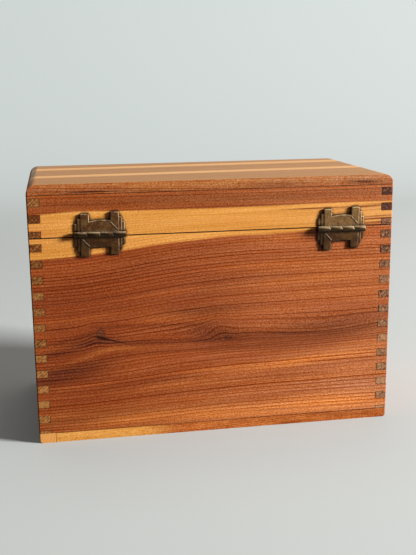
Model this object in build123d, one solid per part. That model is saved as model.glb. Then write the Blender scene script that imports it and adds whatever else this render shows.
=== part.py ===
from build123d import *
import os
from math import atan, cos, degrees, sin

# A cedar box for 3 x 5 inch recipe cards, in millimetres.
# X runs along the box, the hinges are on the +Y face and Z = 0 is the underside.
# The four walls are finger-jointed as one tall carcass, closed with a top and a base,
# and the lid is then sawn off and hung on two stamped hinges.

# ---- Driving dimensions of the woodwork ----
box_width = 146.4
box_depth = 76.2
box_height = 104.2            # closed, over the top board
wall_thickness = 4.76
top_thickness = 4.1
base_thickness = 4.0
end_strip_width = 6.6         # cross-grain strip that finishes the right end of the base
top_end_radius = 3.8          # roundover along both ends of the top board
base_end_radius = 1.3
base_end_inset = 0.25         # the base is sanded back this far under the side walls
corner_ease = 0.4             # planed off the upright corners once the box is glued up
finger_width = 3.175          # one finger and one gap make the 1/4 inch pitch
first_finger_drop = 1.1       # from the top of the carcass down to the first side finger
slot_gap = 0.12               # the slots are cut this much deeper than the boards are thick
lid_height = 20.45            # over the top board, from the lid's rim
saw_kerf = 1.8
lid_gap = 0.3                 # left between the rims of the closed box

# ---- Driving dimensions of one hinge, taken from its barrel's axis ----
right_hinge_inset = 27.3      # from the right end of the box to the hinge's middle
left_hinge_inset = 22.0
hinge_line_height = 0.1       # of the barrels' common axis over the saw cut, half way between the hinges
hinge_line_rise = 1.62        # the right hinge is nailed on this much higher than the left one
barrel_length = 19.9
barrel_radius = 1.2
barrel_standoff = 0.25        # clear space between the barrel and the wood
pin_clearance = 0.05          # running fit of the pin in the knuckles
pin_end_chamfer = 0.2
knuckle_count = 4
knuckle_gap = 0.16            # between neighbouring knuckles
curl_gap = 0.2                # where the end of the curled sheet stops short of its leaf
sheet = 0.5
leaf_barrel_gap = 0.06        # between a leaf's edge and the barrel
barrel_overhang = 0.25        # of the barrel past each side of a leaf
leaf_rise = 1.2               # how far the domed plate stands off the wood
shoulder_step = 0.3           # each shoulder lies this much lower than its neighbour
shoulder_count = 2
plate_reach = 5.0             # of the plate's edge beside the short leg
plate_skew = 0.35             # the edge lies this much further out beside the long leg
lid_plate_arch = 0.45         # bulge of that edge between the legs of the lid's leaf
body_plate_arch = -0.15
short_leg_reach = 8.0
long_leg_reach = 8.7          # the creased leg
leg_width = 3.3
leg_inset = 2.3               # from a leaf's side to its leg, shared by the shoulders
leg_step = 1.9                # each shoulder is this much shorter than its neighbour
leaf_edge_radius = 0.4        # the sheet's bend round the plate's edge
crease_width = 0.55
crease_height = 0.22
prong_width = 2.0
prong_length = 3.6
prong_taper = 1.4
prong_point_width = 0.5

# ---- Worked out from the driving dimensions ----
body_rim_height = box_height - lid_height - lid_gap
lid_drop = saw_kerf - lid_gap                   # how far the sawn lid comes down again
carcass_bottom = base_thickness
carcass_top = box_height - top_thickness + lid_drop
finger_pitch = 2 * finger_width
half_width = box_width / 2
axis_height = barrel_radius + barrel_standoff   # from the wood to the barrel's axis
bore_radius = barrel_radius - sheet
pin_radius = bore_radius - pin_clearance
leaf_start = barrel_radius + leaf_barrel_gap
leaf_width = barrel_length - 2 * barrel_overhang
knuckle_pitch = barrel_length / knuckle_count
back_face = box_depth / 2
right_hinge_x = box_width / 2 - right_hinge_inset
left_hinge_x = left_hinge_inset - box_width / 2
hinge_line_slope = hinge_line_rise / (right_hinge_x - left_hinge_x)
hinge_line_middle_x = (right_hinge_x + left_hinge_x) / 2
hinge_line_middle_z = body_rim_height + lid_gap / 2 + hinge_line_height
hinge_tilt = atan(hinge_line_slope)


def block(x_range, y_range, z_range):
    """A rectangular block between three pairs of limits."""
    size = [high - low for low, high in (x_range, y_range, z_range)]
    corner = (x_range[0], y_range[0], z_range[0])
    return Pos(*corner) * Box(*size, align=Align.MIN)


# ---- Finger-jointed carcass ----

def side_finger_spans():
    """Heights taken at each corner by the fingers of the side boards."""
    spans = []
    top = carcass_top - first_finger_drop
    while top > carcass_bottom:
        spans.append((max(top - finger_width, carcass_bottom), top))
        top -= finger_pitch
    return spans


def end_finger_spans():
    """Heights left over for the fingers of the front and back boards."""
    spans = []
    top = carcass_top
    for side_bottom, side_top in side_finger_spans():
        spans.append((side_top, top))
        top = side_bottom
    if top > carcass_bottom:
        spans.append((carcass_bottom, top))
    return spans


def corner_notches(spans, width, depth):
    """Notches of the given size in x and y at all four corners of the box, over the given heights."""
    notches = []
    for bottom, top in spans:
        for side in (-1, 1):
            for end in (-1, 1):
                corner = (side * half_width, end * back_face, bottom)
                align = (Align.MAX if side > 0 else Align.MIN, Align.MAX if end > 0 else Align.MIN, Align.MIN)
                notches.append(Pos(*corner) * Box(width, depth, top - bottom, align=align))
    return notches


def side_board(side):
    """Left (-1) or right (1) wall of the whole carcass; its fingers reach the front and back."""
    x_range = sorted((side * half_width, side * (half_width - wall_thickness)))
    board = block(x_range, (-back_face, back_face), (carcass_bottom, carcass_top))
    return board - corner_notches(end_finger_spans(), wall_thickness, wall_thickness + slot_gap)


def end_board(end):
    """Front (-1) or back (1) wall of the whole carcass; its fingers reach the sides."""
    y_range = sorted((end * back_face, end * (back_face - wall_thickness)))
    board = block((-half_width, half_width), y_range, (carcass_bottom, carcass_top))
    return board - corner_notches(side_finger_spans(), wall_thickness + slot_gap, wall_thickness)


def saw(board):
    """Saw a carcass board along its length into its body part and its lid part."""
    across = ((-box_width, box_width), (-box_depth, box_depth))
    body_part = board & block(*across, (0, body_rim_height))
    lid_part = board & block(*across, (body_rim_height + saw_kerf, 2 * box_height))
    return body_part, Pos(0, 0, -lid_drop) * lid_part


# ---- Top and base ----

def edges_along_ends(board, height):
    """Edges that run from front to back at the given height."""
    return board.edges().filter_by(Axis.Y).filter_by_position(Axis.Z, height - 0.01, height + 0.01)


def top_board():
    board = block((-half_width, half_width), (-back_face, back_face), (box_height - top_thickness, box_height))
    return fillet(edges_along_ends(board, box_height), min(top_end_radius, 0.95 * top_thickness))


def base_pieces():
    """Base board and the strip glued across its right end."""
    end_x = half_width - base_end_inset
    seam_x = half_width - end_strip_width
    board = block((-end_x, seam_x), (-back_face, back_face), (0, base_thickness))
    strip = block((seam_x, end_x), (-back_face, back_face), (0, base_thickness))
    radius = min(base_end_radius, 0.9 * base_thickness)
    board = fillet(edges_along_ends(board, 0).sort_by(Axis.X)[0], radius)
    strip = fillet(edges_along_ends(strip, 0).sort_by(Axis.X)[-1], radius)
    return board, strip


def eased_block():
    """The whole box as a block with its upright corners eased, which the glued-up wood is trimmed to."""
    whole = block((-half_width, half_width), (-back_face, back_face), (0, box_height))
    return chamfer(whole.edges().filter_by(Axis.Z), corner_ease)


# ---- Hinge ----
# A leaf is drawn flat, as seen from behind the box: x runs along the barrel towards the left
# end of the box, y away from the barrel and z out of the wood. The barrel's axis is at y = 0.
# Both leaves of a hinge have the same outline, one of them turned end for end.

leg_outer = leaf_width / 2 - leg_inset
leg_inner = leg_outer - leg_width
short_leg = (-leg_outer, -leg_inner)
long_leg = (leg_inner, leg_outer)
leg_reaches = {short_leg: short_leg_reach, long_leg: long_leg_reach}


def rectangle(x_range, y_range, inset=0.0):
    size = (x_range[1] - x_range[0] - 2 * inset, y_range[1] - y_range[0] - 2 * inset)
    return Pos(x_range[0] + inset, y_range[0] + inset) * Rectangle(*size, align=Align.MIN)


def plate_middle(arch):
    """The plate between the legs, with its edge bulging or hollowed by the arch."""
    start = (-leg_inner, plate_reach)
    end = (leg_inner, plate_reach + plate_skew)
    top = (0, plate_reach + plate_skew / 2 + arch)
    return make_face(ThreePointArc(start, top, end) + Polyline(end, (leg_inner, leaf_start),
                                                               (-leg_inner, leaf_start), start))


def side_outlines(level, inset=0.0):
    """Outlines on both sides of a leaf down to one level: 0 is the legs, then one shoulder more a side."""
    outline = Sketch()
    for step in range(level + 1):
        side = leg_outer + leg_inset * step / shoulder_count
        outline += rectangle((-side, -leg_inner), (leaf_start, short_leg_reach - step * leg_step), inset)
        outline += rectangle((leg_inner, side), (leaf_start, long_leg_reach - step * leg_step), inset)
    return outline


def bent_edges(terrace):
    """Edges of a terrace's top that the sheet is bent down over: all but the one along the barrel."""
    rim = terrace.faces().sort_by(Axis.Z)[-1].edges()
    return rim.filter_by_position(Axis.Y, leaf_start, long_leg_reach, inclusive=(False, True))


def leaf_plate(arch):
    """Stamped plate of a leaf: terraced shoulders, hollow behind, with its edges down on the wood."""
    plate = Part()
    hollow = extrude(rectangle((-leg_outer, leg_outer), (leaf_start, plate_reach), sheet), leaf_rise - sheet)
    for level in range(shoulder_count + 1):
        height = leaf_rise - level * shoulder_step
        terrace = extrude(plate_middle(arch) + side_outlines(level), height)
        plate += fillet(bent_edges(terrace), min(leaf_edge_radius, 0.8 * sheet))
        if height > sheet:
            hollow += extrude(side_outlines(level, inset=sheet), height - sheet)
    return plate - hollow


def crease():
    """Raised crease from the plate's corner across the foot of the long leg."""
    margin = leaf_edge_radius + crease_width / 2
    start = Vector(leg_inner, plate_reach + plate_skew - margin)
    end = Vector(leg_outer - margin, leaf_start + margin)
    run = end - start
    across = Plane(origin=(start.X, start.Y, leaf_rise), x_dir=(-run.Y, run.X, 0), z_dir=(run.X, run.Y, 0))
    ridge = Polygon((-crease_width / 2, 0), (crease_width / 2, 0), (0, crease_height), align=None)
    return extrude(across * ridge, run.length)


def prong(leg, reach):
    """Prong that a leg's tip is bent down into."""
    middle = (leg[0] + leg[1]) / 2
    shank = prong_length - prong_taper
    points = [
        (middle - prong_width / 2, 0),
        (middle - prong_width / 2, -shank),
        (middle - prong_point_width / 2, -prong_length),
        (middle + prong_point_width / 2, -prong_length),
        (middle + prong_width / 2, -shank),
        (middle + prong_width / 2, 0),
    ]
    return extrude(Plane.XZ.offset(-reach) * Polygon(*points, align=None), sheet)


def prongs():
    return [prong(leg, reach) for leg, reach in leg_reaches.items()]


def knuckle(index):
    """One curled knuckle: the sheet runs in under the pin and round it, and stops above itself."""
    start = -barrel_length / 2 + index * knuckle_pitch + knuckle_gap / 2
    curl = Pos(0, axis_height) * Circle(barrel_radius)
    curl += rectangle((0, leaf_start + sheet), (barrel_standoff, barrel_standoff + sheet))
    curl -= Pos(0, axis_height) * Circle(bore_radius)
    slot_bottom = barrel_standoff + sheet
    curl -= rectangle((0, barrel_radius), (slot_bottom, slot_bottom + curl_gap))
    return extrude(Plane.YZ.offset(start) * curl, knuckle_pitch - knuckle_gap)


def leaf(arch):
    """A leaf as the lid wears it, with every second knuckle of the barrel."""
    solid = leaf_plate(arch) + crease()
    solid += prongs()
    solid += [knuckle(index) for index in range(1, knuckle_count, 2)]
    return solid


def hinge_pin():
    axis_plane = Plane.YZ.offset(-barrel_length / 2)
    pin = extrude(axis_plane * (Pos(0, axis_height) * Circle(pin_radius)), barrel_length)
    return chamfer(pin.edges().filter_by(GeomType.CIRCLE), pin_end_chamfer)


def hinge_place(x):
    """Where a hinge drawn flat goes: on the back face, along the sloping hinge line."""
    z = hinge_line_middle_z + (x - hinge_line_middle_x) * hinge_line_slope
    return Plane(origin=(x, back_face, z), x_dir=(-cos(hinge_tilt), 0, -sin(hinge_tilt)), z_dir=(0, 1, 0))


# ---- Assembly ----
parts = {}
carcass = {"left_side": side_board(-1), "right_side": side_board(1), "front": end_board(-1), "back": end_board(1)}
for name, board in carcass.items():
    parts[f"body_{name}"], parts[f"lid_{name}"] = saw(board)
parts["lid_top"] = top_board()
parts["base_board"], parts["base_end_strip"] = base_pieces()
parts = {name: board & eased_block() for name, board in parts.items()}

turned = Rot(0, 0, 180)
for side, hinge_x in (("left", left_hinge_x), ("right", right_hinge_x)):
    place = hinge_place(hinge_x)
    parts[f"{side}_hinge_lid_leaf"] = place * leaf(lid_plate_arch)
    parts[f"{side}_hinge_body_leaf"] = place * turned * leaf(body_plate_arch)
    parts[f"{side}_hinge_pin"] = place * hinge_pin()
    parts["lid_back"] -= [place * slot for slot in prongs()]
    parts["body_back"] -= [place * turned * slot for slot in prongs()]

os.makedirs("parts", exist_ok=True)
for name, solid in parts.items():
    export_step(solid, f"parts/{name}.step")

print("hinge axis passes", (hinge_line_middle_x, back_face + axis_height, hinge_line_middle_z))
print("hinge line tilts", round(degrees(hinge_tilt), 3), "degrees")
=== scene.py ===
import math
import bpy
from mathutils import Matrix, Vector

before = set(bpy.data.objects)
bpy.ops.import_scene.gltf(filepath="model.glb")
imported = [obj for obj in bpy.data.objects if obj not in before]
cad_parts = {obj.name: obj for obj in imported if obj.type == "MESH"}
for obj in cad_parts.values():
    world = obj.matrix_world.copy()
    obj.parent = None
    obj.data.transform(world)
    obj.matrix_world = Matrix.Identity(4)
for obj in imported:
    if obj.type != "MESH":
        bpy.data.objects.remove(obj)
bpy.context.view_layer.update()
mm = 0.001


# Helpers for wiring materials.

def paint(code):
    # a colour as it is mixed on the bench, in hex, turned into the linear values that a shader takes
    parts = [int(code[i:i + 2], 16) / 255 for i in (0, 2, 4)]
    return tuple(p / 12.92 if p <= 0.04045 else ((p + 0.055) / 1.055) ** 2.4 for p in parts) + (1.0,)


class NodeSheet:
    # short calls for adding and wiring nodes in one tree
    def __init__(self, tree):
        self.tree = tree

    def feed(self, socket, value):
        if isinstance(value, bpy.types.NodeSocket):
            self.tree.links.new(value, socket)
        else:
            socket.default_value = value

    def add(self, kind, wires=None, **settings):
        node = self.tree.nodes.new(kind)
        for name, value in settings.items():
            setattr(node, name, value)
        for socket, value in (wires or {}).items():
            self.feed(node.inputs[socket], value)
        return node

    def math(self, operation, *values, clamp=False):
        node = self.add("ShaderNodeMath", dict(enumerate(values)), operation=operation, use_clamp=clamp)
        return node.outputs[0]

    def plus(self, first, second, clamp=False):
        return self.math("ADD", first, second, clamp=clamp)

    def minus(self, first, second):
        return self.math("SUBTRACT", first, second)

    def times(self, first, second, clamp=False):
        return self.math("MULTIPLY", first, second, clamp=clamp)

    def timesPlus(self, value, gain, offset, clamp=False):
        return self.math("MULTIPLY_ADD", value, gain, offset, clamp=clamp)

    def larger(self, first, second):
        return self.math("MAXIMUM", first, second)

    def power(self, value, exponent):
        return self.math("POWER", value, exponent)

    def size(self, value):
        return self.math("ABSOLUTE", value)

    def vector(self, operation, *values):
        node = self.add("ShaderNodeVectorMath", dict(enumerate(values)), operation=operation)
        return node.outputs["Value" if operation == "DOT_PRODUCT" else "Vector"]

    def scale(self, value, factor):
        scaled = self.vector("SCALE", value)
        self.feed(scaled.node.inputs["Scale"], factor)
        return scaled

    def split(self, value):
        return self.add("ShaderNodeSeparateXYZ", {0: value}).outputs

    def join(self, x, y, z):
        return self.add("ShaderNodeCombineXYZ", {0: x, 1: y, 2: z}).outputs[0]

    def ramp(self, value, low, high, toLow=0.0, toHigh=1.0, kind="SMOOTHSTEP"):
        wires = {"Value": value, "From Min": low, "From Max": high, "To Min": toLow, "To Max": toHigh}
        return self.add("ShaderNodeMapRange", wires, interpolation_type=kind).outputs["Result"]

    def mix(self, amount, first, second, blend="MIX"):
        wires = {0: amount, 6: first, 7: second}
        return self.add("ShaderNodeMix", wires, data_type="RGBA", blend_type=blend).outputs[2]

    def tint(self, colour, by):
        return self.mix(1.0, colour, by, "MULTIPLY")

    def noise(self, place, detail=2.0, rough=0.5):
        wires = {"Vector": place, "Scale": 1.0, "Detail": detail, "Roughness": rough}
        return self.add("ShaderNodeTexNoise", wires).outputs["Fac"]

    def dice(self, value):
        # one random number for each whole number
        return self.add("ShaderNodeTexWhiteNoise", {"W": value}, noise_dimensions="1D").outputs["Value"]

    def grey(self, value):
        return self.add("ShaderNodeCombineColor", {0: value, 1: value, 2: value}).outputs[0]

    def openness(self, distance, inside=False):
        # 1 in the open, less near other surfaces, or near the piece's own far side where it looks inside
        node = self.add("ShaderNodeAmbientOcclusion", {"Distance": distance}, samples=8, inside=inside)
        return node.outputs["AO"]

    def curve(self, value, points):
        # a curve through points whose x lies between 0 and 1
        node = self.add("ShaderNodeFloatCurve", {"Factor": 1.0, "Value": value})
        line = node.mapping.curves[0]
        node.mapping.clip_min_y = -1.0
        for x, y in points[2:]:
            line.points.new(x, y)
        for point, (x, y) in zip(line.points, sorted(points)):
            point.location = (x, y)
        node.mapping.update()
        return node.outputs["Value"]


def startMaterial(name):
    material = bpy.data.materials.new(name)
    material.use_nodes = True
    sheet = NodeSheet(material.node_tree)
    sheet.tree.nodes.clear()
    return material, sheet


def showShader(sheet, shader):
    output = sheet.add("ShaderNodeOutputMaterial")
    sheet.tree.links.new(shader, output.inputs["Surface"])


def startGroup(name, inputs, outputs):
    # a new shader group; each input is (label, kind, default) and each output (label, kind)
    tree = bpy.data.node_groups.new(name, "ShaderNodeTree")
    for label, kind, default in inputs:
        socket = tree.interface.new_socket(label, in_out="INPUT", socket_type="NodeSocket" + kind)
        socket.default_value = default
    for label, kind in outputs:
        tree.interface.new_socket(label, in_out="OUTPUT", socket_type="NodeSocket" + kind)
    sheet = NodeSheet(tree)
    return tree, sheet, sheet.add("NodeGroupInput").outputs, sheet.add("NodeGroupOutput").inputs


def placeGroup(sheet, tree, wires):
    node = sheet.add("ShaderNodeGroup", None, node_tree=tree)
    for label, value in wires.items():
        sheet.feed(node.inputs[label], value)
    return node.outputs


# The wood's effects are groups that every board's material shares.
# A board's own space is in millimetres: x along the grain, y across its face and z through it.

# Each noise is (turns a millimetre along the grain, turns across it, shift).
growth = {
    "wander": (0.012, 0.05, 3.1), "wanderBy": 2.4,    # the rings wander slowly, this far
    "shiver": (0.07, 0.4, 8.4), "shiverBy": 0.3,
    "patches": (0.02, 0.4, 5.7),
    "fibre": (0.03, 2.3, 1.3),
    "fleck": (1.7, 2.6, 6.2),
    "mottle": (0.018, 0.3, 2.2),
    "strand": (0.02, 1.1, 9.9),
    "thinSpacing": 0.41, "thinStrength": 0.4,         # finer lines lie between the yearly ones
    "faintest": 0.45, "spread": 0.95, "rarity": 1.6,  # most lines are faint, and a few are strong
}


def makeWoodFigure():
    tree, sheet, given, out = startGroup(
        "woodFigure",
        [("Board", "Vector", (0, 0, 0)), ("Rings", "Float", 0.0),
         ("Spacing", "Float", 1.3), ("Seed", "Float", 0.0)],
        [(name, "Float") for name in ("Latewood", "Tone", "Fibre", "Fleck", "Mottle", "Strand")],
    )
    seed = given["Seed"]
    seedStep = sheet.join(seed, seed, seed)

    def grainNoise(kind, **settings):
        along, across, shift = growth[kind]
        scaled = sheet.vector("MULTIPLY", given["Board"], (along, across, across))
        moved = sheet.vector("ADD", sheet.vector("ADD", scaled, seedStep), (shift, 2 * shift, -shift))
        return sheet.noise(moved, **settings)

    slow = sheet.timesPlus(grainNoise("wander", detail=1.0), growth["wanderBy"], given["Rings"])
    rings = sheet.timesPlus(grainNoise("shiver", detail=2.0), growth["shiverBy"], slow)
    patchy = sheet.ramp(grainNoise("patches", detail=2.0), 0.3, 0.6, 0.7, 1.0)

    def yearLines(spacing, shift, low):
        turns = sheet.math("DIVIDE", rings, sheet.times(given["Spacing"], spacing))
        ring = sheet.math("FLOOR", turns)
        phase = sheet.math("FRACT", turns)
        chance = sheet.dice(sheet.plus(ring, sheet.plus(seed, shift)))
        # each year darkens slowly and ends in a thin dark line
        darkening = sheet.power(sheet.ramp(phase, low, 0.88), 1.5)
        dark = sheet.times(darkening, sheet.ramp(phase, 0.93, 1.0, 1.0, 0.0))
        rare = sheet.power(chance, growth["rarity"])
        return sheet.times(dark, sheet.timesPlus(rare, growth["spread"], growth["faintest"])), ring

    broad, ring = yearLines(1.0, 0.0, 0.5)
    thin, _ = yearLines(growth["thinSpacing"], 31.7, 0.2)
    lines = sheet.times(sheet.larger(broad, sheet.times(thin, growth["thinStrength"])), patchy)
    sheet.feed(out["Latewood"], lines)
    sheet.feed(out["Tone"], sheet.dice(sheet.plus(ring, sheet.plus(seed, 57.3))))
    sheet.feed(out["Fibre"], grainNoise("fibre", detail=3.0, rough=0.65))
    sheet.feed(out["Fleck"], grainNoise("fleck", detail=2.0, rough=0.7))
    sheet.feed(out["Mottle"], grainNoise("mottle", detail=2.0, rough=0.5))
    sheet.feed(out["Strand"], grainNoise("strand", detail=2.0, rough=0.6))
    return tree


def makeStreak():
    # a soft streak in the wood, which may climb or dive as it goes along
    tree, sheet, given, out = startGroup(
        "streak",
        [("Board", "Vector", (0, 0, 0)), ("Centre", "Vector", (0, 0, 0)), ("Reach", "Vector", (1, 1, 1)),
         ("Lean", "Vector", (0, 0, 0)), ("Amount", "Float", 1.0)],
        [("Value", "Float")],
    )
    away = sheet.vector("SUBTRACT", given["Board"], given["Centre"])
    climb = sheet.scale(given["Lean"], sheet.split(away)["X"])
    reach = sheet.vector("DIVIDE", sheet.vector("SUBTRACT", away, climb), given["Reach"])
    fall = sheet.math("EXPONENT", sheet.times(sheet.vector("DOT_PRODUCT", reach, reach), -1.0))
    sheet.feed(out["Value"], sheet.times(fall, given["Amount"]))
    return tree


def makeFacing():
    # 1 on the faces that look along a direction, on one side only or on both
    tree, sheet, given, out = startGroup(
        "facing",
        [("Normal", "Vector", (0, 0, 1)), ("Direction", "Vector", (1, 0, 0))],
        [("One Side", "Float"), ("Both Sides", "Float")],
    )
    lean = sheet.vector("DOT_PRODUCT", given["Normal"], given["Direction"])
    sheet.feed(out["One Side"], sheet.ramp(lean, 0.6, 0.8))
    sheet.feed(out["Both Sides"], sheet.ramp(sheet.size(lean), 0.6, 0.8))
    return tree


def makeLine():
    # 1 where a value is close to a given one, for glue lines and saw marks
    tree, sheet, given, out = startGroup(
        "thinLine",
        [("Value", "Float", 0.0), ("At", "Float", 0.0), ("Width", "Float", 0.1)],
        [("Line", "Float")],
    )
    off = sheet.size(sheet.minus(given["Value"], given["At"]))
    sheet.feed(out["Line"], sheet.ramp(sheet.math("DIVIDE", off, given["Width"]), 0.4, 1.0, 1.0, 0.0))
    return tree


# How the growth lines of the back board climb, in millimetres on the board.
backGrain = {
    "span": 150.0,                # the curves' x runs over this much of the board, from its right end
    "high": 100.0,                # and, where it runs upwards, over this much
    "rise": 7.4,
    "riseAlong": [(0.0, 0.0), (0.08, 0.03), (0.22, 0.27), (0.36, 0.6), (0.5, 0.84), (0.62, 0.95),
                  (1.0, 1.12)],
    "riseUp": [(0.0, 0.1), (0.12, 0.32), (0.24, 0.66), (0.34, 0.88), (0.5, 0.98), (0.6, 1.0), (0.8, 1.0),
               (0.93, 0.05), (1.0, 0.0)],
    "dips": [
        # from, to, reach across, lift
        ((26, 40.0), (-6, 39.0), 4.6, -5.0),
        ((-16, 40.0), (-66, 41.0), 6.0, -5.6),
        ((53, 44.5), (46, 43.5), 6.0, 2.4),
        ((3, 45), (-5, 43), 8.0, 1.8),
    ],
}


def streakAt(sheet, board, start, end, reach, amount):
    # a streak from one point of the board to another; points may leave out their depth
    first = Vector((*start, 0.0)[:3])
    last = Vector((*end, 0.0)[:3])
    run = last - first
    across = (*reach, 60.0)[:2] if isinstance(reach, tuple) else (reach, 60.0)
    wires = {
        "Board": board, "Centre": (first + last) / 2, "Reach": (abs(run.x) * 0.6, *across),
        "Lean": (0.0, run.y / run.x, run.z / run.x), "Amount": amount,
    }
    return placeGroup(sheet, groups["streak"], wires)["Value"]


def alongBack(sheet, place):
    return sheet.timesPlus(place["X"], -1 / backGrain["span"], 0.5)


def makeBackBend():
    tree, sheet, given, out = startGroup(
        "backGrainBend", [("Board", "Vector", (0, 0, 0))], [("Lift", "Float")])
    place = sheet.split(given["Board"])
    along = sheet.curve(alongBack(sheet, place), backGrain["riseAlong"])
    upward = sheet.curve(sheet.times(place["Y"], 1 / backGrain["high"]), backGrain["riseUp"])
    lift = sheet.times(sheet.times(along, upward), backGrain["rise"])
    for start, end, reach, amount in backGrain["dips"]:
        lift = sheet.plus(lift, streakAt(sheet, given["Board"], start, end, reach, amount))
    sheet.feed(out["Lift"], lift)
    return tree


groups = {"figure": makeWoodFigure(), "streak": makeStreak(), "facing": makeFacing(), "line": makeLine()}
groups["backBend"] = makeBackBend()
print("wood groups ready")


cedar = {
    "paints": {
        "heartLight": "b46129", "heartRed": "883f18", "heartDeep": "6a2b10", "heartLine": "43190c",
        "sapLight": "d89b4d", "sapDeep": "c88a3b", "sapLine": "9c5520",
        "plum": "3f160f", "amber": "d98740", "raw": "c58a5f",
        "paleAndSheen": "e9b57c", "tanAndSheen": "c09a48",        # pale sapwood and tan heartwood colours; on the upper face they are painted sheen
        "knot": "55402f", "crack": "1d0c08",
    },
    # fine variations multiply the colour; blue swings most, as painted highlights where light catches
    # single fibres, over the grain's own tone
    "lineTint": (0.42, 0.19, 0.04),
    "dullFibre": (0.92, 0.79, 0.58), "brightFibre": (1.08, 1.18, 1.36),
    "dullFleck": (0.74, 0.46, 0.10), "brightFleck": (1.26, 1.60, 2.30),
    "sapContrast": 0.55,          # the share of those that sapwood shows
    "bump": 0.22, "bumpDepth": 0.06,
    "roughness": 0.40, "fleckRoughness": 0.18, "sawnRoughness": 0.25,
    "coatRoughness": 0.3,
    "sawnPale": 0.35,             # inner faces were never oiled
    "fingerTop": 99.0,            # of the first finger, on the lid as it is closed
    "fingerPitch": 6.35, "fingerWidth": 3.175, "fingerLine": 0.24, "fingerLineStrength": 0.85,
    "lidSplit": 83.6,
    "splitEdges": [83.45, 83.75], # the two sawn edges, drawn as dark lines
    "splitWidth": 0.17, "splitStrength": 0.65,
    "lidDrop": 1.5,               # the saw took this much out of the carcass
    "cornerX": 73.2, "wall": 4.76,
    "seams": [4.0, 100.1],        # glue lines of the base and the top board
    "seamWidth": 0.22, "crossSeamStrength": 0.85,
    "ease": 0.12,
}

colours = {name: paint(code) for name, code in cedar["paints"].items()}

# What a board has unless its own list says otherwise.
plainBoard = {
    "drift": 0.0,                 # how fast its growth lines climb along it
    "paler": (0, 1, 0.0),         # from x, to x, how much paler
    "dusty": 0.0,
    "specular": 0.06,
    "coat": 0.45,                 # where the fibres catch the light; dull fibres have none
    "seams": [],                  # upright glue lines, as (axis, place)
    "endLight": "a8673a", "endDark": "6b3216", "endTones": [(0.0, 0.5), (1.0, 0.5)],
    "endBlotch": 1.2, "endLines": 0.8,
}

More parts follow.
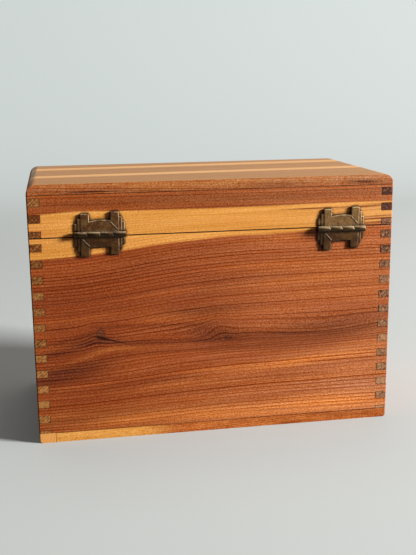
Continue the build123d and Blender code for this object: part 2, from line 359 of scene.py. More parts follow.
# What differs from board to board. Streaks are (from, to, reach across, amount) on the board.
# Dusts and pales are lighter streaks, plums and shades darker ones, ambers and tans warmer ones.
# Shades are smooth, and the others come and go with the figure. The keys with "sap" are on sapwood.
# Bands are sapwood across a board (low, high, how soft), and sapEdges are its edges drawn on the board.
# Curves give (share of the height, value). The keys with "end" are for the end grain.
boardLooks = {
    "backCedar": {
        "axes": "XZY", "inward": (0, -1, 0), "seed": 4.0, "spacing": 1.28, "tilt": 35, "bend": True,
        "sapEdges": {
            "low": [(73, 75.1), (57, 76.0), (36.4, 77.7), (23, 79.4), (7, 80.7), (-9, 81.6), (-20, 81.6),
                    (-30, 81.9), (-40, 82.6), (-52, 84.0), (-73, 84.4)],
            "high": [(73, 92.2), (56, 93.4), (36, 93.1), (2, 92.8), (-40, 93.2), (-73, 93.3)],
        },
        # the last value on the next line is how far the painted shade round the hinges reaches
        "paler": (40, -70, 0.36), "dusty": 0.03, "hingeShadeReach": 1.6,
        "lineStrength": [(0.0, 1.05), (0.08, 1.15), (0.15, 1.35), (0.28, 1.25), (0.45, 1.0), (0.9, 1.0),
                         (0.94, 0.65), (1.0, 0.65)],
        "dusts": [((-30, 14), (-84, 16), 14.0, 0.4), ((12, 8), (-60, 7), 4.0, 0.28),
                  ((-34, 9.5), (-80, 9.5), 6.0, 0.4), ((-40, 28.8), (-76, 31.0), 2.2, 0.5)],
        "plums": [
            ((42, 40.2), (-2, 38.9), 0.9, 0.9), ((40, 39.8), (20, 39.2), 1.8, 0.35),
            ((69, 40.6), (46, 45.6), 1.3, 0.65), ((78, 34.6), (45, 41.6), 2.4, 0.8),
            ((56, 43), (42, 43.5), 4.0, 0.4), ((78, 26.0), (46, 31.6), 4.2, 0.85),
            ((48, 47.2), (14, 46.2), 0.9, 0.65), ((14, 44.5), (-6, 41.5), 5.4, 0.2),
            ((-6, 39.4), (-44, 38.6), 4.2, 0.6), ((-36, 39.6), (-78, 43.4), 6.0, 0.42),
            ((24, 74.6), (-12, 76.6), 2.6, 0.28), ((44, 71.5), (22, 73.0), 3.0, 0.3),
            # the first streak on the next line is a painted shadow, beside the hinge nearer the box's left
            # end
            ((-35, 81.2), (-44, 80.2), 2.2, 0.8), ((22, 52), (-6, 50.5), 3.0, 0.25),
            ((78, 7.4), (42, 8.6), 2.2, 0.55), ((22, 51.4), (-24, 52.2), 3.2, 0.35),
            ((46, 36.8), (-40, 33.4), 1.6, 0.35), ((76, 13.5), (6, 9.5), 2.2, 0.35),
            ((46, 23.8), (-2, 22.8), 2.0, 0.24), ((60, 96.6), (-90, 97.0), 3.4, 0.45),
            ((-20, 62), (-84, 66), 12.0, 0.16), ((70, 46), (58, 48), 3.0, 0.35),
            ((74, 59), (40, 61), 8.0, 0.28), ((74, 18), (20, 22), 2.2, 0.15),
            ((12, 60), (-12, 62), 5.0, 0.3),
        ],
        "shades": [((80, 25.8), (44, 31.2), 4.4, 0.62), ((11, 43.2), (-10, 40.4), 4.4, 0.8),
                   ((-26, 39.4), (-78, 43.2), 5.4, 0.46)],
        "tans": [((70, 96.6), (-90, 97.0), 3.4, 0.1)],
        "ambers": [
            ((60, 32.8), (44, 37.4), 1.1, 0.65), ((46, 37.4), (30, 37.8), 0.9, 0.45),
            ((38, 51.2), (6, 49.4), 2.4, 0.2), ((-25, 26.6), (-73, 30.8), 2.2, 1.0),
            ((14, 26.0), (-28, 27.2), 1.6, 0.25), ((-30, 9.0), (-75, 7.8), 3.4, 0.85),
            ((38, 7.0), (-34, 6.0), 2.8, 1.0), ((-20, 10.5), (-66, 10.5), 3.0, 0.35),
            ((-20, 64), (-73, 66), 9.0, 0.42), ((32, 20), (-20, 21), 3.0, 0.35),
            ((60, 9), (-10, 12), 4.0, 0.5), ((-30, 20), (-73, 22), 3.0, 0.35),
            ((-14, 79.4), (-45, 81.0), 1.4, 0.35),
        ],
        "sapStreaks": [
            ((-30, 91.2), (-50, 91.5), 0.3, 1.4), ((-54, 91.2), (-82, 92.6), 0.65, 1.6),
            ((-58, 89.9), (-84, 90.6), 0.3, 0.9), ((-55, 86.8), (-84, 88.0), 0.4, 1.0),
            ((-52, 85.8), (-84, 86.8), 0.35, 1.4), ((-56, 84.5), (-84, 85.2), 0.45, 1.5),
            ((30, 88.0), (-10, 88.4), 0.25, 0.25), ((60, 86.0), (20, 87.2), 0.3, 0.25),
            ((70, 79.4), (40, 81.0), 0.3, 0.3), ((-5, 84.6), (-50, 85.4), 0.3, 0.35),
        ],
        "sapAmbers": [((78, 86), (64, 86), 6.0, 0.35)],
        "sapPales": [((-46, 88.4), (-92, 89.4), 6.0, 0.5)],
        "knots": [((47.1, 44.3), (1.2, 1.9), 0.7), ((-4.4, 39.6), (1.0, 0.7), 0.75)],
        "cracks": [((47.4, 42.7), (37.4, 39.8), 0.3, 1.6), ((48.6, 43.0), (44.4, 41.9), 0.5, 1.3),
                   ((-2.6, 39.8), (-6.5, 39.0), 0.28, 0.75)],
    },
    "frontCedar": {
        "axes": "XZY", "inward": (0, 1, 0), "seed": 21.0, "spacing": 1.4, "tilt": 40,
        "bands": [(-4, 9.5, 0.8)],
        "plums": [((20, 66), (-60, 67), 3.5, 0.5), ((65, 30), (5, 31), 3, 0.4)],
        "ambers": [((55, 48), (-35, 49), 5, 0.5)],
    },
    "rightCedar": {
        "axes": "YZX", "inward": (-1, 0, 0), "seed": 37.0, "spacing": 1.35, "tilt": 42,
        "bands": [(-60, 4, 3.0)],
        "plums": [((32, 40), (-12, 42), 3.5, 0.4)],
        "ambers": [((18, 52), (-38, 50), 4, 0.5)],
        "endLight": "aa7641", "endDark": "5c3010", "endBlotch": 3.4,
        "endTones": [(0.0, 0.85), (0.25, 0.85), (0.4, 0.6), (0.6, 0.45), (0.75, 0.35), (0.86, 0.3),
                     (0.92, 0.1), (0.97, 0.5), (1.0, 0.5)],
    },
    "leftCedar": {
        "axes": "YZX", "inward": (1, 0, 0), "seed": 52.0, "spacing": 1.3, "tilt": -46,
        "plums": [((25, 70), (-35, 72), 6, 0.7)],
        "ambers": [((38, 25), (-18, 24), 5, 0.5)],
        "endLight": "b0835e", "endDark": "42281f", "endBlotch": 3.4,
        "endTones": [(0.0, 0.85), (0.2, 0.75), (0.4, 0.66), (0.55, 0.5), (0.75, 0.36), (0.86, 0.36),
                     (0.92, 0.0), (1.0, 0.2)],
    },
    "topCedar": {
        "axes": "XYZ", "inward": (0, 0, -1), "seed": 66.0, "spacing": 1.4, "tilt": 55, "drift": 0.045,
        # the first two values on the next line are how much painted sheen pales the upper face's sapwood
        # and tans its heartwood
        "paleAndSheen": 0.45, "tanAndSheen": 0.34, "specular": 0.05, "paler": (20, -70, 0.22), "dusty": 0.2,
        "coat": 0.12,
        "dusts": [((-10, 38.1, 103.0), (-90, 38.1, 102.8), (3.0, 1.2), 0.6)],
        "lineStrength": [(0.0, 0.75), (1.0, 0.75)],
        "bands": [(3.9, 11.8, 0.7), (-27.0, -18.6, 0.7)],
        "plums": [
            ((46, 38.1, 100.8), (62, 38.1, 100.6), (3.0, 0.3), 0.6),
            ((72, 38.1, 101.4), (30, 38.1, 100.7), (3.0, 0.22), 0.9),
            ((-16, 38.1, 101.6), (-33, 38.1, 101.2), (3.0, 0.9), 0.4),
            ((-54, 38.1, 101.6), (-69, 38.1, 101.2), (3.0, 0.9), 0.5),
            ((70, 2.5), (-70, -3.0), 0.5, 0.6),
            ((10, 38.1, 102.2), (-110, 38.1, 102.2), (2.5, 2.4), 0.17),
        ],
        "ambers": [((60, 38.1, 103.2), (-20, 38.1, 103.0), (2.5, 1.3), 0.28)],
        "tans": [((80, 38.1, 102.2), (-80, 38.1, 102.2), (2.5, 2.4), 0.16)],
    },
    "baseCedar": {
        "axes": "XYZ", "inward": (0, 0, 1), "seed": 81.0, "spacing": 1.5, "tilt": 62, "drift": -0.1,
        "bands": [(40.6, 60, 0.9), (-33, -24, 0.6)],
        "dusty": 0.02, "seams": [("X", 66.6)],
        "ambers": [((26, 38.1, 2), (-76, 38.1, 2), (3.0, 3.0), 0.5)],
    },
    "stripCedar": {
        "axes": "YXZ", "inward": (0, 0, 1), "seed": 95.0, "spacing": 1.2, "tilt": 20,
        "bands": [(-200, 200, 0.5)], "seams": [("X", 66.6)],
        "endLight": "e0a25c", "endDark": "c4823f", "endTones": [(0.0, 0.8), (1.0, 0.8)], "endLines": 0.25,
    },
}


def boardSpace(sheet, axes):
    # a place in the board's own space, and the parts of its place in the box, all in millimetres
    place = sheet.scale(sheet.add("ShaderNodeTexCoord").outputs["Object"], 1 / mm)
    parts = sheet.split(place)
    return sheet.join(*(parts[axis] for axis in axes)), parts


def unitVector(axis):
    return tuple(1.0 if axis == name else 0.0 for name in "XYZ")


def facing(sheet, normal, direction):
    return placeGroup(sheet, groups["facing"], {"Normal": normal, "Direction": direction})


def lineAt(sheet, value, at, width):
    return placeGroup(sheet, groups["line"], {"Value": value, "At": at, "Width": width})["Line"]


def growBoard(sheet, look, board, place):
    # the board's figure, and how far each point lies across its growth lines
    if look.get("bend"):
        lift = placeGroup(sheet, groups["backBend"], {"Board": board})["Lift"]
    else:
        lift = sheet.times(place["X"], look["drift"])
    across = sheet.minus(place["Y"], lift)
    rings = sheet.timesPlus(place["Z"], math.tan(math.radians(look["tilt"])), across)
    straight = sheet.join(place["X"], across, place["Z"])
    wires = {"Board": straight, "Rings": rings, "Spacing": look["spacing"], "Seed": look["seed"]}
    figure = dict(placeGroup(sheet, groups["figure"], wires).items())
    if "lineStrength" in look:
        strength = sheet.curve(sheet.times(place["Y"], 1 / backGrain["high"]), look["lineStrength"])
        figure["Latewood"] = sheet.times(figure["Latewood"], strength, clamp=True)
    return figure, across


def streakMaker(sheet, look, board, figure):
    # streaks of one kind; uneven ones come and go with the wood's own figure
    def streaks(kind, uneven=True):
        total = 0.0
        for start, end, reach, amount in look[kind]:
            total = sheet.plus(total, streakAt(sheet, board, start, end, reach, amount))
        if not uneven:
            return sheet.math("MINIMUM", total, 1.0)
        spread = sheet.times(sheet.ramp(figure["Mottle"], 0.25, 0.6, 0.6, 1.15),
                             sheet.ramp(figure["Strand"], 0.36, 0.6, 0.65, 1.3))
        spread = sheet.times(spread, sheet.ramp(figure["Latewood"], 0.0, 0.6, 0.85, 1.3))
        return sheet.times(total, spread, clamp=True)
    return streaks


def sapwoodMask(sheet, look, place, across, ragged):
    # a board's sapwood lies in straight bands, or between two edges drawn along it
    total = 0.0
    for low, high, soft in look.get("bands", []):
        wavy = sheet.plus(across, ragged)
        inside = sheet.times(sheet.ramp(wavy, low - soft, low + soft),
                             sheet.ramp(wavy, high - soft, high + soft, 1.0, 0.0))
        total = sheet.plus(total, inside, clamp=True)
    if "sapEdges" in look:
        middle = 70
        reach = 30
        along = alongBack(sheet, place)
        wavy = sheet.plus(place["Y"], ragged)

        def above(points, soft):
            drawn = [(0.5 - x / backGrain["span"], (y - middle) / reach) for x, y in points]
            edge = sheet.timesPlus(sheet.curve(along, drawn), reach, middle)
            return sheet.ramp(sheet.minus(wavy, edge), -soft, soft)

        outside = sheet.minus(1.0, above(look["sapEdges"]["high"], 0.35))
        total = sheet.times(above(look["sapEdges"]["low"], 0.6), outside)
    return total


def heartwood(sheet, look, place, figure, streaks):
    start, end, gain = look["paler"]
    paler = sheet.ramp(place["X"], start, end, 0.0, gain, "LINEAR")
    lightness = sheet.plus(sheet.ramp(figure["Mottle"], 0.3, 0.7, 0.05, 0.6), paler, clamp=True)
    wood = sheet.mix(lightness, colours["heartRed"], colours["heartLight"])
    wood = sheet.mix(sheet.times(figure["Tone"], 0.35), wood, colours["heartDeep"])
    wood = sheet.mix(sheet.timesPlus(paler, 0.55, look["dusty"]), wood, colours["raw"])
    for kind, colour in (("dusts", "raw"), ("ambers", "amber"), ("tans", "tanAndSheen"), ("plums", "plum")):
        if kind in look:
            wood = sheet.mix(streaks(kind), wood, colours[colour])
    lines = figure["Latewood"]
    if "shades" in look:
        shade = streaks("shades", uneven=False)
        wood = sheet.mix(shade, wood, colours["plum"])
        lines = sheet.times(lines, sheet.timesPlus(shade, -0.4, 1.0))
    return sheet.mix(lines, wood, sheet.tint(wood, (*cedar["lineTint"], 1)))


def sapwood(sheet, look, figure, streaks):
    wood = sheet.mix(sheet.ramp(figure["Mottle"], 0.3, 0.7), colours["sapDeep"], colours["sapLight"])
    wood = sheet.mix(sheet.times(figure["Latewood"], 0.4), wood, colours["sapLine"])
    for kind, colour in (("sapAmbers", "heartLight"), ("sapPales", "paleAndSheen"), ("sapStreaks", "heartDeep")):
        if kind in look:
            wood = sheet.mix(streaks(kind), wood, colours[colour])
    return wood


def addFibres(sheet, figure, wood, contrast):
    for kind in ("Fibre", "Fleck"):
        dull, bright = (*cedar["dull" + kind], 1), (*cedar["bright" + kind], 1)
        light = sheet.mix(sheet.ramp(figure[kind], 0.3, 0.7), dull, bright)
        wood = sheet.mix(contrast, wood, sheet.tint(wood, light))
    return wood


def knotMasks(sheet, board, spots):
    # the cores of the knots and the dark rims round them
    cores, rims = 0.0, 0.0
    place = sheet.split(board)
    wobble = sheet.timesPlus(sheet.noise(sheet.vector("MULTIPLY", board, (0.9, 0.9, 0.9))), 0.9, -0.45)
    for centre, size, amount in spots:
        away = [sheet.timesPlus(place[axis], 1 / size[i], -centre[i] / size[i])
                for i, axis in enumerate("XY")]
        squares = [sheet.power(value, 2.0) for value in away]
        reach = sheet.plus(sheet.math("SQRT", sheet.plus(*squares)), wobble)
        cores = sheet.plus(cores, sheet.ramp(reach, 0.6, 1.05, amount, 0.0))
        rim = sheet.times(sheet.ramp(reach, 0.7, 1.1, 0.0, amount * 0.7),
                          sheet.ramp(reach, 1.1, 1.8, 1.0, 0.0))
        rims = sheet.plus(rims, rim)
    return cores, rims


def addKnots(sheet, look, board, figure, streaks, wood):
    cores, rims = knotMasks(sheet, board, look["knots"])
    wood = sheet.mix(rims, wood, colours["plum"])
    core = sheet.mix(sheet.ramp(figure["Fleck"], 0.4, 0.55), colours["crack"], colours["knot"])
    wood = sheet.mix(cores, wood, core)
    return sheet.mix(streaks("cracks", uneven=False), wood, colours["crack"])


def addSeams(sheet, look, place, figure, normal, wood):
    # glue lines, and the two edges that the saw left when it cut off the lid
    patchy = sheet.ramp(figure["Mottle"], 0.3, 0.6, 0.35, 0.9)
    seams = [("Z", height, patchy) for height in cedar["seams"]]
    seams += [(axis, at, cedar["crossSeamStrength"]) for axis, at in look["seams"]]
    for axis, at, strength in seams:
        seam = lineAt(sheet, place[axis], at, cedar["seamWidth"])
        wood = sheet.mix(sheet.times(seam, strength), wood, colours["crack"])
    flatFace = facing(sheet, normal, unitVector("Z"))["Both Sides"]
    edges = 0.0
    for height in cedar["splitEdges"]:
        edges = sheet.larger(edges, lineAt(sheet, place["Z"], height, cedar["splitWidth"]))
    upright = sheet.timesPlus(flatFace, -cedar["splitStrength"], cedar["splitStrength"])
    return sheet.mix(sheet.times(edges, upright), wood, colours["crack"])


def endGrain(sheet, look, figure, board, place):
    # sawn and oiled end grain, darker or paler from one finger to the next, with glue lines round each
    onLid = sheet.math("GREATER_THAN", place["Z"], cedar["lidSplit"])
    carcass = sheet.timesPlus(onLid, cedar["lidDrop"], place["Z"])
    drop = sheet.minus(cedar["fingerTop"] + cedar["lidDrop"], carcass)
    turn = sheet.math("DIVIDE", drop, cedar["fingerPitch"])
    chance = sheet.dice(sheet.plus(sheet.math("FLOOR", turn), look["seed"]))
    tone = sheet.curve(sheet.times(place["Z"], 1 / backGrain["high"]), look["endTones"])
    tone = sheet.plus(tone, sheet.timesPlus(chance, 0.36, -0.18))
    blotch = sheet.noise(sheet.vector("MULTIPLY", board, (1.0, 1.0, 1.0)), detail=3.0, rough=0.7)
    swing = look["endBlotch"]
    tone = sheet.plus(tone, sheet.timesPlus(blotch, swing, -swing / 2), clamp=True)
    wood = sheet.mix(tone, paint(look["endDark"]), paint(look["endLight"]))
    growthLines = sheet.times(figure["Latewood"], look["endLines"], clamp=True)
    wood = sheet.mix(growthLines, wood, colours["heartLine"])
    if look["axes"] != "YZX":
        return wood
    inFinger = sheet.times(sheet.math("FRACT", turn), cedar["fingerPitch"])
    innerEdge = sheet.minus(cedar["cornerX"] - cedar["wall"], sheet.size(place["X"]))
    glue = 0.0
    for value, at in ((inFinger, 0.0), (inFinger, cedar["fingerWidth"]), (innerEdge, 0.0)):
        glue = sheet.larger(glue, lineAt(sheet, value, at, cedar["fingerLine"]))
    return sheet.mix(sheet.times(glue, cedar["fingerLineStrength"]), wood, colours["crack"])


def paintUpperSheen(sheet, look, normal, sapMask, wood):
    # painted sheen: the sapwood of the upper face is painted paler and its heartwood tanner
    upper = facing(sheet, normal, unitVector("Z"))["One Side"]
    pale = sheet.times(sheet.times(upper, look["paleAndSheen"]), sapMask)
    wood = sheet.mix(pale, wood, colours["paleAndSheen"])
    tanSheen = sheet.times(sheet.times(upper, look["tanAndSheen"]), sheet.minus(1.0, sapMask))
    return sheet.mix(tanSheen, wood, colours["tanAndSheen"])


def woodShader(sheet, look, figure, inner, ends, wood):
    height = sheet.plus(sheet.times(figure["Fibre"], 0.5), sheet.times(figure["Latewood"], -0.5))
    wires = {"Strength": cedar["bump"], "Distance": cedar["bumpDepth"] * mm, "Height": height}
    bump = sheet.add("ShaderNodeBump", wires)
    swing = cedar["fleckRoughness"]
    satin = sheet.timesPlus(figure["Fleck"], swing, cedar["roughness"] - swing / 2)
    rough = sheet.timesPlus(sheet.larger(inner, ends), cedar["sawnRoughness"], satin, clamp=True)
    shiny = sheet.times(sheet.ramp(figure["Fleck"], 0.4, 0.7),
                        sheet.ramp(figure["Latewood"], 0.0, 0.5, 1.0, 0.3))
    coat = sheet.times(sheet.times(shiny, look["coat"]), sheet.minus(1.0, inner), clamp=True)
    shader = sheet.add("ShaderNodeBsdfPrincipled", {
        "Base Color": wood, "Roughness": rough, "Specular IOR Level": look["specular"],
        "Coat Weight": coat, "Coat Roughness": cedar["coatRoughness"], "Normal": bump.outputs["Normal"],
    })
    return shader.outputs["BSDF"]


def cedarMaterial(name, boardLook):
    look = {**plainBoard, **boardLook}
    material, sheet = startMaterial(name)
    board, boxPlace = boardSpace(sheet, look["axes"])
    place = sheet.split(board)
    normal = sheet.add("ShaderNodeTexCoord").outputs["Normal"]
    figure, across = growBoard(sheet, look, board, place)
    streaks = streakMaker(sheet, look, board, figure)
    ragged = sheet.timesPlus(figure["Fibre"], 1.2, -0.6)
    sapMask = sapwoodMask(sheet, look, place, across, ragged)
    wood = sheet.mix(sapMask, heartwood(sheet, look, place, figure, streaks),
                     sapwood(sheet, look, figure, streaks))
    contrast = sheet.timesPlus(sapMask, cedar["sapContrast"] - 1.0, 1.0)
    wood = addFibres(sheet, figure, wood, contrast)
    if "knots" in look:
        wood = addKnots(sheet, look, board, figure, streaks, wood)
    wood = addSeams(sheet, look, boxPlace, figure, normal, wood)
    if "hingeShadeReach" in look:
        # painted shade: the wood is darkened in the corners round the hinges
        around = sheet.openness(look["hingeShadeReach"] * mm)
        wood = sheet.mix(sheet.ramp(around, 0.6, 0.96, 0.92, 0.0), wood, colours["crack"])
    ends = facing(sheet, normal, unitVector(look["axes"][0]))["Both Sides"]
    wood = sheet.mix(ends, wood, endGrain(sheet, look, figure, board, boxPlace))
    inner = facing(sheet, normal, look["inward"])["One Side"]
    if "paleAndSheen" in look:
        wood = paintUpperSheen(sheet, look, normal, sapMask, wood)
    wood = sheet.mix(sheet.times(inner, cedar["sawnPale"]), wood, colours["raw"])
    showShader(sheet, woodShader(sheet, look, figure, inner, ends, wood))
    return material


boardMaterials = {name: cedarMaterial(name, look) for name, look in boardLooks.items()}
boardOf = {
    "body_back": "backCedar", "lid_back": "backCedar",
    "body_front": "frontCedar", "lid_front": "frontCedar",
    "body_right_side": "rightCedar", "lid_right_side": "rightCedar",
    "body_left_side": "leftCedar", "lid_left_side": "leftCedar",
    "lid_top": "topCedar", "base_board": "baseCedar", "base_end_strip": "stripCedar",
}


def dress(node, material):
    slots = node.data.materials
    slots.clear()
    slots.append(material)


def easeEdges(node, width):
    # the CAD triangles are joined into whole faces, so that only real edges are rounded
    weld = node.modifiers.new("weld", "WELD")
    weld.merge_threshold = 0.001 * mm
    join = node.modifiers.new("join", "DECIMATE")
    join.decimate_type = "DISSOLVE"
    join.angle_limit = math.radians(0.2)
    bevel = node.modifiers.new("ease", "BEVEL")
    bevel.width = width
    bevel.segments = 2
    bevel.limit_method = "ANGLE"
    bevel.angle_limit = math.radians(30)
    bevel.harden_normals = True


for nodeName, materialName in boardOf.items():
    dress(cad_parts[nodeName], boardMaterials[materialName])
    easeEdges(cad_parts[nodeName], cedar["ease"] * mm)
print("boards dressed")


# The hinges.

bronze = {
    # the grime colour serves for patina spots and for painted shade, and the worn colour for worn edges
    # and painted highlights
    "base": "4e2e11", "light": "7a5c35", "grimeAndShade": "150d08", "wornAndLitColour": "c9b796",
    "creaseShade": "272521",
    "lower": (0.55, 0.48, 0.28),  # the lower plates are made darker
    "downShade": 0.78,               # painted shade under the barrel, and where the plates face down
    # metal shares: plain, more in painted shade, less on worn and lit places
    "metallic": 0.4, "shadedPartsMetallic": 0.5, "wornAndLitMetallic": -0.3,
    "roughness": 0.48, "speckleRoughness": 0.2,
    "specular": 0.25,
    "bump": 0.25, "bumpDepth": 0.03,
    "patinaScale": 450, "spotScale": 1300, "speckleScale": 3800,    # turns a metre
    "windowSideLightFrom": 0.04, "windowSideLightTo": -0.045,     # painted light: the hinge on the box's left, nearer the window, is lighter
    "edge": 0.5,                  # how far from an edge the patina is rubbed, in millimetres
    "thin": 0.5,                  # and how far it looks into the metal for an edge
    "hollow": 0.9,                # how far from a corner the painted shade reaches
    # how strongly the worn and lit colour and the crease's painted shade are mixed in comes first on the
    # next line
    "wornAndLitStrength": 0.7, "creaseStrength": 0.75,
    "ease": 0.13,
    "barrelReach": (1.2, 1.3),    # how far from the hinge line the barrel's painted highlight and painted shade end
    "creaseLean": 0.781,          # how far the crease's slopes still face outward
    # the barrels' common axis: its climb, and its height at x = 0
    "lineSlope": 0.01668, "lineHeight": 83.744,
}


def bronzePatina(sheet, place, patina, speckle, overLine):
    # the bare colour with lighter patches, painted lighter still on the hinge nearer the window, and with
    # dark spots
    windowSideLight = sheet.ramp(sheet.split(place)["X"], bronze["windowSideLightFrom"], bronze["windowSideLightTo"],
                         0.0, 0.6, "LINEAR")
    # the painted light falls mostly on the upper plates, and little on the lower ones
    windowSideLight = sheet.times(windowSideLight, sheet.ramp(overLine, -1.5 * mm, 0.5 * mm, 0.1, 1.1))
    lighter = sheet.timesPlus(sheet.ramp(patina, 0.35, 0.65), 0.6, sheet.minus(windowSideLight, 0.1), clamp=True)
    colour = sheet.mix(lighter, paint(bronze["base"]), paint(bronze["light"]))
    colour = sheet.tint(colour, sheet.grey(sheet.ramp(speckle, 0.3, 0.7, 0.7, 1.3)))
    below = sheet.ramp(overLine, -1.4 * mm, -0.4 * mm, 1.0, 0.0)
    colour = sheet.mix(below, colour, sheet.tint(colour, (*bronze["lower"], 1)))
    spots = bronzeNoise(sheet, place, "spotScale", detail=2.0, rough=0.6)
    return sheet.mix(sheet.ramp(spots, 0.5, 0.72, 0.0, 0.7), colour, paint(bronze["grimeAndShade"])), windowSideLight


def bronzeNoise(sheet, place, scale, **settings):
    return sheet.noise(sheet.vector("MULTIPLY", place, (bronze[scale],) * 3), **settings)


def wornAndLitMask(sheet, leaning, lean, offBarrel, onBarrel, windowSideLight, patina):
    # worn edges and painted highlights on the rims, stronger on the hinge nearer the window and on faces
    # that lean towards +x
    rims = sheet.times(sheet.ramp(lean, 0.985, 0.85), sheet.ramp(lean, 0.15, 0.45))
    rims = sheet.times(rims, sheet.ramp(offBarrel, 1.15 * mm, 1.45 * mm, 0.25, 1.0))
    outer = sheet.timesPlus(windowSideLight, 0.6, sheet.ramp(leaning["X"], -0.3, 0.3, 0.35, 1.5))
    rims = sheet.times(rims, outer, clamp=True)
    # a painted highlight along the top of the barrel
    topHighlight = sheet.times(sheet.ramp(leaning["Z"], 0.5, 0.75), sheet.ramp(leaning["Z"], 0.95, 0.85))
    rims = sheet.larger(rims, sheet.times(sheet.times(topHighlight, onBarrel), 0.7))
    rounded = sheet.add("ShaderNodeBevel", {"Radius": bronze["edge"] * mm}, samples=8).outputs["Normal"]
    sharp = sheet.add("ShaderNodeNewGeometry").outputs["Normal"]
    edge = sheet.ramp(sheet.vector("DOT_PRODUCT", rounded, sharp), 0.985, 0.9, 0.0, 1.0)
    within = sheet.openness(bronze["thin"] * mm, inside=True)
    wornAndLit = sheet.larger(sheet.times(edge, sheet.ramp(within, 0.9, 0.6, 0.0, 0.6)), rims)
    return sheet.times(wornAndLit, sheet.ramp(patina, 0.35, 0.6, 0.25, 1.0))


def bronzeMaterial():
    material, sheet = startMaterial("agedBronze")
    place = sheet.add("ShaderNodeTexCoord").outputs["Object"]
    parts = sheet.split(place)
    leaning = sheet.split(sheet.add("ShaderNodeTexCoord").outputs["Normal"])
    lean = sheet.size(leaning["Y"])
    line = sheet.timesPlus(parts["X"], -bronze["lineSlope"], parts["Z"])
    overLine = sheet.minus(line, bronze["lineHeight"] * mm)
    offBarrel = sheet.size(overLine)
    whole, outer = bronze["barrelReach"]
    onBarrel = sheet.ramp(offBarrel, outer * mm, whole * mm)
    patina = bronzeNoise(sheet, place, "patinaScale", detail=3.0, rough=0.6)
    speckle = bronzeNoise(sheet, place, "speckleScale", detail=1.0)
    colour, windowSideLight = bronzePatina(sheet, place, patina, speckle, overLine)
    wornAndLit = wornAndLitMask(sheet, leaning, lean, offBarrel, onBarrel, windowSideLight, patina)

    # painted shade: corners, the belly of the barrel, faces that look down and the crease slopes are
    # darkened
    around = sheet.openness(bronze["hollow"] * mm)
    colour = sheet.mix(sheet.ramp(around, 0.35, 0.95, 1.0, 0.0), colour, paint(bronze["grimeAndShade"]))
    belly = sheet.times(sheet.ramp(leaning["Z"], 0.62, 0.4), onBarrel)
    under = sheet.ramp(leaning["Z"], -0.15, -0.7)
    downShade = sheet.times(sheet.larger(under, belly), bronze["downShade"])
    colour = sheet.mix(downShade, colour, paint(bronze["grimeAndShade"]))
    crease = sheet.ramp(sheet.size(sheet.minus(lean, bronze["creaseLean"])), 0.04, 0.02)
    # the worn edges and painted highlights are weakened on faces that look down, on the crease slopes and
    # on the lower plates
    wornAndLit = sheet.times(wornAndLit, sheet.timesPlus(under, -0.75, 1.0))
    wornAndLit = sheet.times(wornAndLit, sheet.timesPlus(crease, -0.95, 1.0))
    wornAndLit = sheet.times(wornAndLit, sheet.ramp(overLine, -1.0 * mm, 1.0 * mm, 0.55, 1.0))
    colour = sheet.mix(sheet.times(crease, bronze["creaseStrength"]), colour, paint(bronze["creaseShade"]))
    colour = sheet.mix(sheet.times(wornAndLit, bronze["wornAndLitStrength"]), colour, paint(bronze["wornAndLitColour"]))

    # the places of painted shade are made more metallic, and the worn and lit places less
    shadedParts = sheet.larger(sheet.larger(under, belly), crease)
    metallic = sheet.timesPlus(shadedParts, bronze["shadedPartsMetallic"], bronze["metallic"])
    metallic = sheet.timesPlus(wornAndLit, bronze["wornAndLitMetallic"], metallic, clamp=True)
    swing = bronze["speckleRoughness"]
    rough = sheet.timesPlus(speckle, swing, bronze["roughness"] - swing / 2)
    wires = {"Strength": bronze["bump"], "Distance": bronze["bumpDepth"] * mm, "Height": speckle}
    bump = sheet.add("ShaderNodeBump", wires)
    shader = sheet.add("ShaderNodeBsdfPrincipled", {
        "Base Color": colour, "Roughness": rough, "Metallic": metallic,
        "Specular IOR Level": bronze["specular"], "Normal": bump.outputs["Normal"],
    })
    showShader(sheet, shader.outputs["BSDF"])
    return material


hingeMetal = bronzeMaterial()
for nodeName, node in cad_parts.items():
    if "_hinge_" in nodeName:
        dress(node, hingeMetal)
        easeEdges(node, bronze["ease"] * mm)
print("hinges dressed")


# Floor, light and camera.

studio = {
    "paper": "b4babb",
    "wallGlow": 0.62,             # share of the far paper that shows at its own colour
    "wallColour": "cdd7d6",
    "glowBehind": (-0.25, -0.9),  # where it begins and where it is whole
    "glowBefore": (0.6, 1.6),
    "floorHalf": 2.2, "floorFront": 7.0, "wallBack": 1.1, "wallHigh": 1.6,
    "sweepRadius": 0.5, "sweepSteps": 14,
    "bounce": "6a503c",           # what the paper throws back on the box, as dark wood would
    "worldColour": "f2f5f6", "worldStrength": 0.09,
    # place, aim, size, power and colour of each soft light
    "lamps": {
        "window": ((-1.77, 0.81, 0.69), (0.0, 0.0, 0.05), 0.45, 122.0, (1.0, 0.97, 0.93)),
        "ceiling": ((0.0, -0.35, 1.4), (0.0, -0.1, 0.0), 0.9, 5.8, (1.0, 0.97, 0.93)),
    },
}


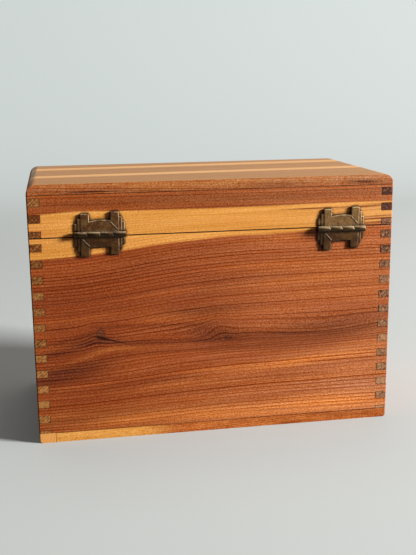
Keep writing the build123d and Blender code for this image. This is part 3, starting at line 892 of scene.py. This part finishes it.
def paperMaterial():
    # the far paper shows at its own colour to the eye and in reflections, without lighting the box
    material = bpy.data.materials.new("palePaper")
    material.use_nodes = True
    sheet = NodeSheet(material.node_tree)
    shader = sheet.tree.nodes["Principled BSDF"]
    shader.inputs["Roughness"].default_value = 0.9
    shader.inputs["Specular IOR Level"].default_value = 0.1
    rays = sheet.add("ShaderNodeLightPath").outputs
    mirrored = sheet.larger(rays["Is Glossy Ray"], rays["Is Transmission Ray"])
    seen = sheet.larger(rays["Is Camera Ray"], mirrored)
    colour = sheet.mix(seen, paint(studio["bounce"]), paint(studio["paper"]))
    sheet.feed(shader.inputs["Base Color"], colour)
    away = sheet.split(sheet.add("ShaderNodeTexCoord").outputs["Object"])["Y"]
    far = sheet.larger(sheet.ramp(away, *studio["glowBehind"]), sheet.ramp(away, *studio["glowBefore"]))
    share = sheet.times(sheet.times(far, studio["wallGlow"]), seen)
    glow = sheet.add("ShaderNodeEmission", {"Color": paint(studio["wallColour"]), "Strength": 1.0})
    wires = {0: share, 1: shader.outputs["BSDF"], 2: glow.outputs[0]}
    both = sheet.add("ShaderNodeMixShader", wires).outputs[0]
    sheet.feed(sheet.tree.nodes["Material Output"].inputs["Surface"], both)
    return material


def makeSweep():
    # floor and backdrop in one sheet of paper, curved up behind the box
    half = studio["floorHalf"]
    back = -studio["wallBack"]
    radius = studio["sweepRadius"]
    steps = studio["sweepSteps"]
    profile = [(studio["floorFront"], 0.0)]
    for i in range(steps + 1):
        turn = math.radians(90 * i / steps)
        profile.append((back + radius * (1 - math.sin(turn)), radius * (1 - math.cos(turn))))
    profile.append((back, studio["wallHigh"]))
    points = [(x, y, z) for y, z in profile for x in (-half, half)]
    faces = [(2 * i, 2 * i + 1, 2 * i + 3, 2 * i + 2) for i in range(len(profile) - 1)]
    mesh = bpy.data.meshes.new("paperSweep")
    mesh.from_pydata(points, [], faces)
    for face in mesh.polygons:
        face.use_smooth = True
    sweep = bpy.data.objects.new("paperSweep", mesh)
    bpy.context.scene.collection.objects.link(sweep)
    mesh.materials.append(paperMaterial())


def makeLights():
    world = bpy.data.worlds.new("softRoom")
    bpy.context.scene.world = world
    world.use_nodes = True
    background = world.node_tree.nodes["Background"]
    background.inputs["Color"].default_value = paint(studio["worldColour"])
    background.inputs["Strength"].default_value = studio["worldStrength"]
    for name, (place, aim, size, power, colour) in studio["lamps"].items():
        lamp = bpy.data.lights.new(name, "AREA")
        lamp.size = size
        lamp.energy = power
        lamp.color = colour
        light = bpy.data.objects.new(name, lamp)
        bpy.context.scene.collection.objects.link(light)
        light.location = place
        light.rotation_euler = (Vector(aim) - light.location).to_track_quat("-Z", "Y").to_euler()


camera = {
    "stand": (0.0619142, 0.3728157, 0.1419886),
    "aim": (0.003628, 0.0381, 0.065073),
    "roll": -0.6675,              # degrees, seen from behind the camera
    "lens": 56.507,
    "sensor": 36.0,
}


def makeCamera():
    ahead = (Vector(camera["aim"]) - Vector(camera["stand"])).normalized()
    level = ahead.cross(Vector((0, 0, 1))).normalized()
    upright = level.cross(ahead)
    roll = math.radians(camera["roll"])
    right = level * math.cos(roll) + upright * math.sin(roll)
    up = right.cross(ahead)
    data = bpy.data.cameras.new("camera")
    data.lens = camera["lens"]
    data.sensor_width = camera["sensor"]
    data.clip_start = 0.01
    eye = bpy.data.objects.new("camera", data)
    bpy.context.scene.collection.objects.link(eye)
    turn = Matrix((right, up, -ahead)).transposed().to_4x4()
    eye.matrix_world = Matrix.Translation(camera["stand"]) @ turn
    bpy.context.scene.camera = eye


makeSweep()
makeLights()
makeCamera()
bpy.context.scene.view_settings.view_transform = "Standard"
print("studio ready")
